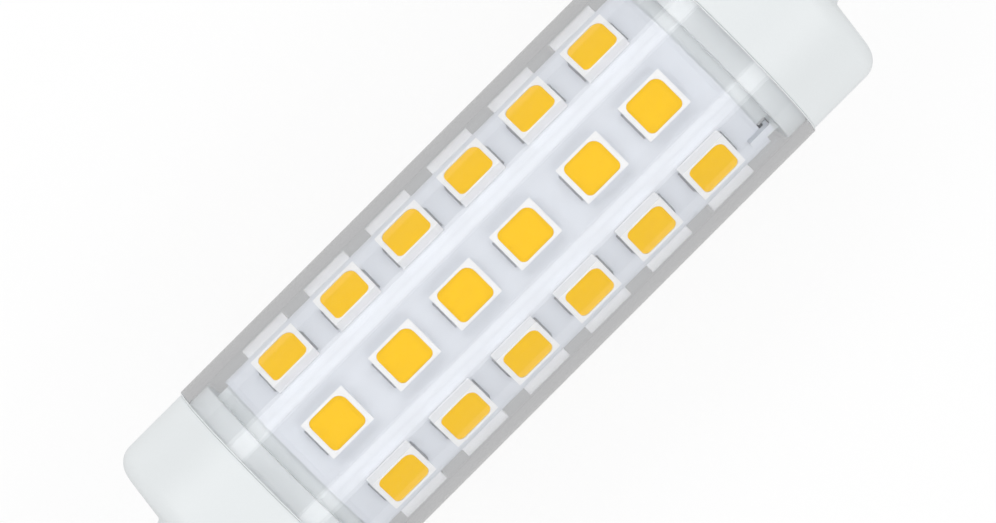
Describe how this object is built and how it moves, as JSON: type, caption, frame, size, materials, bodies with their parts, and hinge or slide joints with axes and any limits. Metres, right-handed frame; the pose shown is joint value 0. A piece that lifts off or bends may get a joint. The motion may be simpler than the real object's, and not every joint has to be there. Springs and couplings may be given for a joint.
{
  "type": "linear led bulb",
  "caption": "Double-ended linear LED bulb: a clear tube over a faceted white board of yellow LEDs, with white end caps, thin necks and recessed end contacts.",
  "frame": {"origin": "middle of the lamp, on its axis halfway between the two contacts", "axes": "+X along the lamp's axis towards the right neck, +Z out of the front row of LEDs, +Y by the right hand"},
  "size_m": [0.078, 0.0164, 0.0164],
  "materials": {
    "clear_tube": "clear, polished",
    "cap_white": "satin moulded",
    "contact_metal": "nickel-plated brass",
    "board_white": "white solder mask on an aluminium core",
    "led_frame": "moulded white",
    "phosphor": "yellow phosphor in silicone",
    "driver_laminate": "green laminate",
    "chip_black": "moulded black",
    "capacitor_case": "moulded case",
    "resistor_coat": "lacquer",
    "lead_insulation": "silicone insulation",
    "tinned_copper": "tinned copper"
  },
  "bodies": {
    "root": {"bridge_rectifier": "chip_black", "clear_tube": "clear_tube", "current_regulator": "chip_black", "driver_board": "driver_laminate", "fusible_resistor": "resistor_coat", "led_board": "board_white", "led_bodies_row_1": "led_frame", "led_bodies_row_2": "led_frame", "led_bodies_row_3": "led_frame", "led_bodies_row_4": "led_frame", "led_bodies_row_5": "led_frame", "led_bodies_row_6": "led_frame", "led_bodies_row_7": "led_frame", "led_bodies_row_8": "led_frame", "led_phosphor_row_1": "phosphor", "led_phosphor_row_2": "phosphor", "led_phosphor_row_3": "phosphor", "led_phosphor_row_4": "phosphor", "led_phosphor_row_5": "phosphor", "led_phosphor_row_6": "phosphor", "led_phosphor_row_7": "phosphor", "led_phosphor_row_8": "phosphor", "left_contact": "contact_metal", "left_end_cap": "cap_white", "left_lead": "lead_insulation", "negative_feed_strip": "tinned_copper", "positive_feed_strip": "tinned_copper", "right_contact": "contact_metal", "right_end_cap": "cap_white", "right_lead": "lead_insulation", "smoothing_capacitor": "capacitor_case"}
  },
  "joints": []
}
